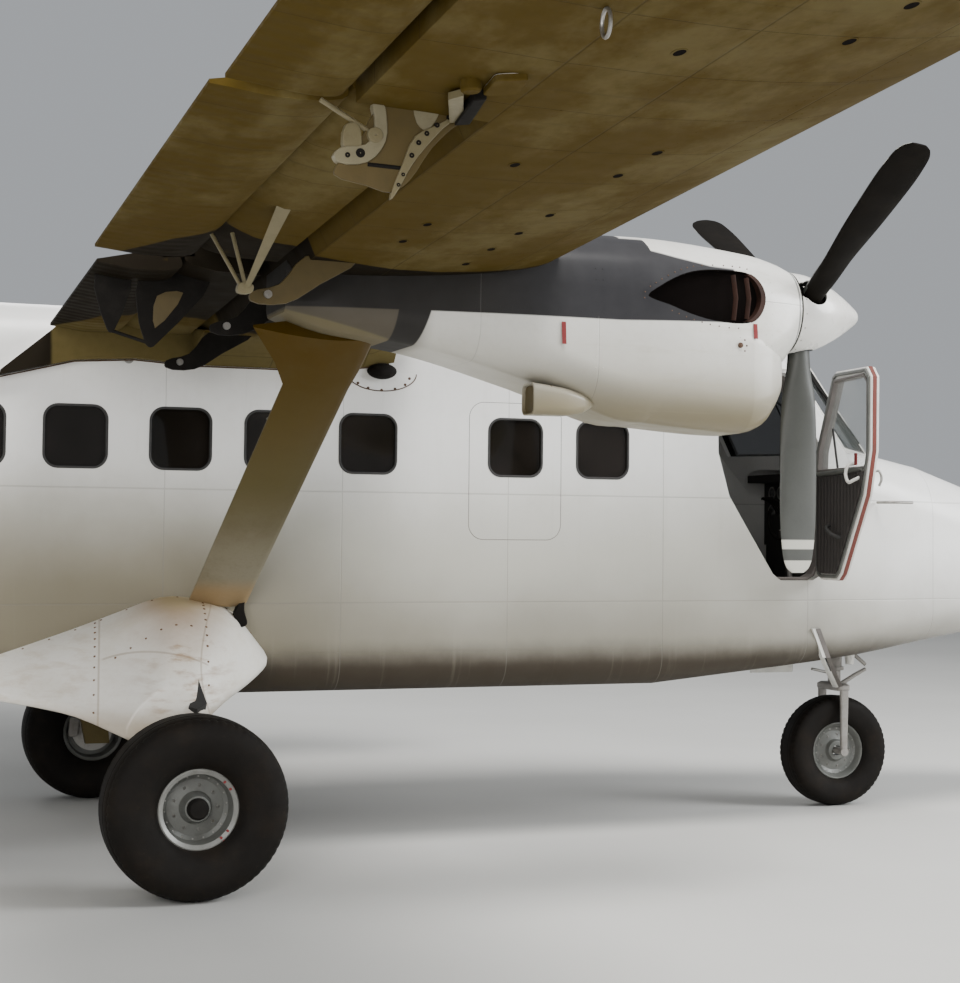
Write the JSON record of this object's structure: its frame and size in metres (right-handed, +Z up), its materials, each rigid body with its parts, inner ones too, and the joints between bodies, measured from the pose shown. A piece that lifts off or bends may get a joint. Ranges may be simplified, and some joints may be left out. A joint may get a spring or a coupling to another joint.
{
  "type": "twin-turboprop high-wing light aircraft",
  "caption": "High-wing, strut-braced light transport aircraft with two propellers, fixed tricycle gear, hinged doors and working control surfaces.",
  "frame": {"origin": "centre of the bounding box in plan, on the ground", "axes": "+X towards the nose, +Y towards the port wing tip, +Z up"},
  "size_m": [15.77, 19.81, 5.94],
  "materials": {
    "white_paint": "gloss",
    "shaded_paint": "satin",
    "dark_panel": "matte",
    "bare_steel": "satin",
    "wheel_paint": "satin",
    "blade_black": "satin",
    "tyre_rubber": "matte",
    "window": "gloss",
    "seat_cloth": "matte",
    "floor_metal": "satin"
  },
  "bodies": {
    "airframe": {"nose_shell": "white_paint", "cockpit_shell": "white_paint", "cabin_roof": "white_paint", "cabin_belly": "white_paint", "cabin_side_left": "white_paint", "cabin_side_right": "white_paint", "emergency_exit": "white_paint", "tail_cone": "white_paint", "fin": "white_paint", "tailplane": "white_paint", "windscreen_left": "window", "cabin_glass_left": "window", "wing_left": "shaded_paint", "strut_left": "shaded_paint", "gear_fairing_left": "shaded_paint", "nacelle_left": "white_paint", "engine_left": "bare_steel", "main_axle_left": "bare_steel", "windscreen_right": "window", "cabin_glass_right": "window", "wing_right": "shaded_paint", "strut_right": "shaded_paint", "gear_fairing_right": "shaded_paint", "nacelle_right": "white_paint", "engine_right": "bare_steel", "main_axle_right": "bare_steel", "instrument_panel": "dark_panel", "cockpit_seats": "seat_cloth", "cabin_seats": "seat_cloth", "cabin_floor": "floor_metal", "nose_leg": "bare_steel"},
    "main_wheel_unit_left": {"tyre_main_left": "tyre_rubber", "wheel_main_left": "wheel_paint"},
    "propeller_unit_left": {"propeller_left": "blade_black", "spinner_left": "white_paint"},
    "flap_unit_left": {"flap_inner_left": "shaded_paint", "flap_outer_left": "shaded_paint"},
    "aileron_unit_left": {"aileron_left": "shaded_paint"},
    "cockpit_door_unit_left": {"cockpit_door_left": "white_paint", "cockpit_door_glass_left": "window"},
    "rear_door_unit_left": {"rear_door_left": "white_paint"},
    "main_wheel_unit_right": {"tyre_main_right": "tyre_rubber", "wheel_main_right": "wheel_paint"},
    "propeller_unit_right": {"propeller_right": "blade_black", "spinner_right": "white_paint"},
    "flap_unit_right": {"flap_inner_right": "shaded_paint", "flap_outer_right": "shaded_paint"},
    "aileron_unit_right": {"aileron_right": "shaded_paint"},
    "cockpit_door_unit_right": {"cockpit_door_right": "white_paint", "cockpit_door_glass_right": "window"},
    "rear_door_unit_right": {"rear_door_right": "white_paint"},
    "nose_fork_unit": {"nose_fork": "bare_steel"},
    "nose_wheel_unit": {"tyre_nose": "tyre_rubber", "wheel_nose": "wheel_paint"},
    "elevator_unit": {"elevator": "white_paint"},
    "rudder_unit": {"rudder": "white_paint"},
    "nose_baggage_door_unit": {"nose_baggage_door": "white_paint"}
  },
  "joints": [
    {"name": "main_wheel_spin_left", "type": "hinge", "parent": "airframe", "child": "main_wheel_unit_left", "pos_m": [1.405, 1.87, 0.44], "axis": [0, 1, 0], "continuous": true},
    {"name": "propeller_spin_left", "type": "hinge", "parent": "airframe", "child": "propeller_unit_left", "pos_m": [4.07, 2.8, 2.84], "axis": [1, 0, 0], "continuous": true},
    {"name": "flap_swing_left", "type": "hinge", "parent": "airframe", "child": "flap_unit_left", "pos_m": [1.4741, 3, 2.721], "axis": [0, -0.9986, -0.0523], "range_deg": [0, 37.5]},
    {"name": "aileron_swing_left", "type": "hinge", "parent": "airframe", "child": "aileron_unit_left", "pos_m": [1.0979, 7, 3.1478], "axis": [0, 0.9986, 0.0523], "range_deg": [-17, 17]},
    {"name": "cockpit_door_swing_left", "type": "hinge", "parent": "airframe", "child": "cockpit_door_unit_left", "pos_m": [5.375, 0.875, 2], "axis": [0, 0, -1], "range_deg": [0, 87]},
    {"name": "rear_door_swing_left", "type": "hinge", "parent": "airframe", "child": "rear_door_unit_left", "pos_m": [-0.615, 0.877, 1.9], "axis": [0, 0, -1], "range_deg": [0, 95]},
    {"name": "main_wheel_spin_right", "type": "hinge", "parent": "airframe", "child": "main_wheel_unit_right", "pos_m": [1.405, -1.87, 0.44], "axis": [0, 1, 0], "continuous": true},
    {"name": "propeller_spin_right", "type": "hinge", "parent": "airframe", "child": "propeller_unit_right", "pos_m": [4.07, -2.8, 2.84], "axis": [1, 0, 0], "continuous": true},
    {"name": "flap_swing_right", "type": "hinge", "parent": "airframe", "child": "flap_unit_right", "pos_m": [1.4741, -3, 2.721], "axis": [0, -0.9986, 0.0523], "range_deg": [0, 37.5]},
    {"name": "aileron_swing_right", "type": "hinge", "parent": "airframe", "child": "aileron_unit_right", "pos_m": [1.0979, -7, 3.1478], "axis": [0, 0.9986, -0.0523], "range_deg": [-17, 17]},
    {"name": "cockpit_door_swing_right", "type": "hinge", "parent": "airframe", "child": "cockpit_door_unit_right", "pos_m": [5.375, -0.875, 2], "axis": [0, 0, 1], "range_deg": [-87, 0]},
    {"name": "rear_door_swing_right", "type": "hinge", "parent": "airframe", "child": "rear_door_unit_right", "pos_m": [-0.615, -0.877, 1.9], "axis": [0, 0, 1], "range_deg": [0, 95]},
    {"name": "nose_steer", "type": "hinge", "parent": "airframe", "child": "nose_fork_unit", "pos_m": [5.945, 0, 0.85], "axis": [0, 0, 1], "range_deg": [-60, 60]},
    {"name": "nose_wheel_spin", "type": "hinge", "parent": "nose_fork_unit", "child": "nose_wheel_unit", "pos_m": [5.935, 0, 0.358], "axis": [0, 1, 0], "continuous": true},
    {"name": "elevator_swing", "type": "hinge", "parent": "airframe", "child": "elevator_unit", "pos_m": [-6.514, 0, 3.18], "axis": [0, 1, 0], "range_deg": [-14, 26]},
    {"name": "rudder_swing", "type": "hinge", "parent": "airframe", "child": "rudder_unit", "pos_m": [-7.035, 0, 4], "axis": [0, 0, 1], "range_deg": [-20, 20]},
    {"name": "nose_baggage_door_swing", "type": "hinge", "parent": "airframe", "child": "nose_baggage_door_unit", "pos_m": [6.405, 0.7165, 1.782], "axis": [0.9703, -0.2419, 0], "range_deg": [0, 85]}
  ],
  "couplings": [
    {"joint": "flap_swing_right", "follows": "flap_swing_left", "ratio": 1},
    {"joint": "aileron_swing_right", "follows": "aileron_swing_left", "ratio": -1}
  ]
}
